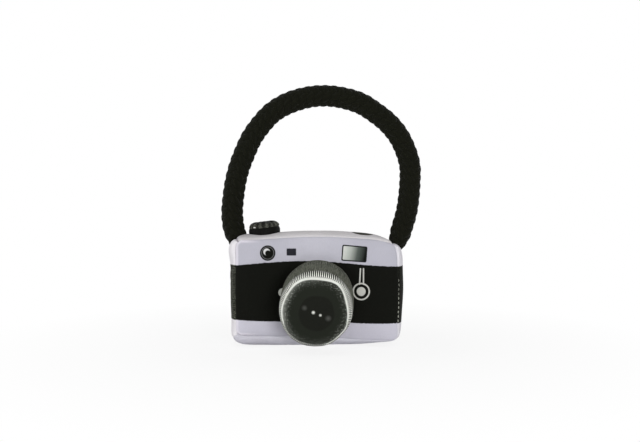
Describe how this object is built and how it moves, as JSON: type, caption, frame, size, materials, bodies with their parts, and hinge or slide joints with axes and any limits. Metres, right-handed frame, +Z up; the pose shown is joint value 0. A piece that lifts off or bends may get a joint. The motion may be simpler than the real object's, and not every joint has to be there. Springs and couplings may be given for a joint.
{
  "type": "camera dog toy",
  "caption": "Stuffed cloth dog toy shaped like a camera, with a padded lens that squeaks when pressed, a soft shutter knob and a braided rope handle to carry and tug it by.",
  "frame": {"origin": "middle of the pressed-flat patch of the bottom that the toy stands on", "axes": "+Z up, +X to the right as seen from the front, the lens points along -Y"},
  "size_m": [0.1629, 0.0928, 0.2106],
  "materials": {
    "printed_cloth": "short pile, printed",
    "lens_cloth": "short pile, printed",
    "knob_cloth": "short pile",
    "rope": "braided",
    "filling": "fibre fill",
    "squeaker": "matte",
    "reed": "matte"
  },
  "bodies": {
    "camera_body": {"front_panel": "printed_cloth", "back_panel": "printed_cloth", "top_gusset": "printed_cloth", "right_gusset": "printed_cloth", "bottom_gusset": "printed_cloth", "left_gusset": "printed_cloth", "body_stuffing": "filling", "lens_barrel": "lens_cloth", "lens_stuffing": "filling", "squeaker_bellows": "squeaker", "squeaker_reed_tube": "squeaker", "squeaker_reed": "reed", "knob_band": "knob_cloth", "knob_stuffing": "filling"},
    "lens_front": {"lens_face": "lens_cloth"},
    "knob_cap": {"knob_top": "knob_cloth"},
    "handle": {"rope_handle": "rope"}
  },
  "joints": [
    {"name": "handle_fold", "type": "hinge", "parent": "camera_body", "child": "handle", "pos_m": [0, 0, 0.09482], "axis": [1, 0, 0], "range_deg": [-75, 75], "stiffness_Nm_per_rad": 0.12},
    {"name": "lens_press", "type": "slide", "parent": "camera_body", "child": "lens_front", "axis": [0.051, 0.973, 0.225], "range_m": [0, 0.01], "stiffness_N_per_m": 800, "deforming": ["lens_barrel", "lens_stuffing", "squeaker_bellows"]},
    {"name": "knob_press", "type": "slide", "parent": "camera_body", "child": "knob_cap", "axis": [0.1045, 0, -0.9945], "range_m": [0, 0.0035], "stiffness_N_per_m": 600, "deforming": ["knob_band", "knob_stuffing"]}
  ]
}
